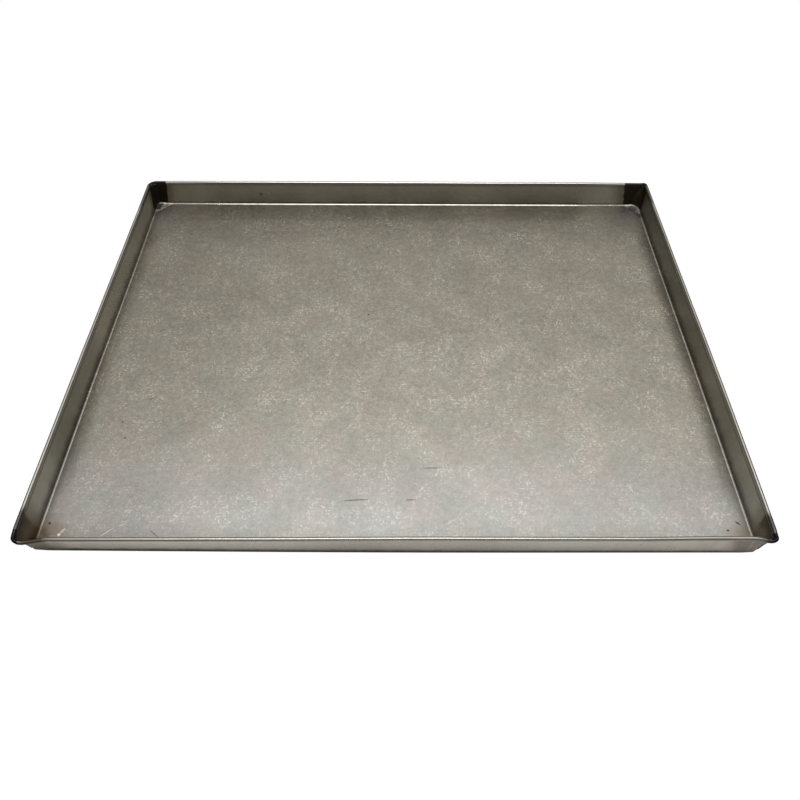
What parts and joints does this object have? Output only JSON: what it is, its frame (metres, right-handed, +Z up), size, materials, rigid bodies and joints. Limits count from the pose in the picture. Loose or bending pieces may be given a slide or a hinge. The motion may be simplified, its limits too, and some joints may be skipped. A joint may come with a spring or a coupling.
{
  "type": "baking tray",
  "caption": "Shallow rectangular steel baking tray with low flared walls, a rim rolled round wire and welded corners.",
  "frame": {"origin": "Centre of the flat underside, on the surface that the tray rests on.", "axes": "+X along the long side to the right, +Y from the front to the back, +Z up out of the open top."},
  "size_m": [0.65, 0.53, 0.0323],
  "materials": {
    "pan_steel": "dull and mottled, with small flakes and baked-on stains",
    "wire_steel": "drawn, bare",
    "weld_metal": "heat-tinted blue-black, ground round"
  },
  "bodies": {
    "root": {"pan_sheet": "pan_steel", "rim_wire_right": "wire_steel", "rim_wire_back": "wire_steel", "rim_wire_left": "wire_steel", "rim_wire_front": "wire_steel", "corner_weld_back_right": "weld_metal", "corner_weld_back_left": "weld_metal", "corner_weld_front_left": "weld_metal", "corner_weld_front_right": "weld_metal"}
  },
  "joints": []
}
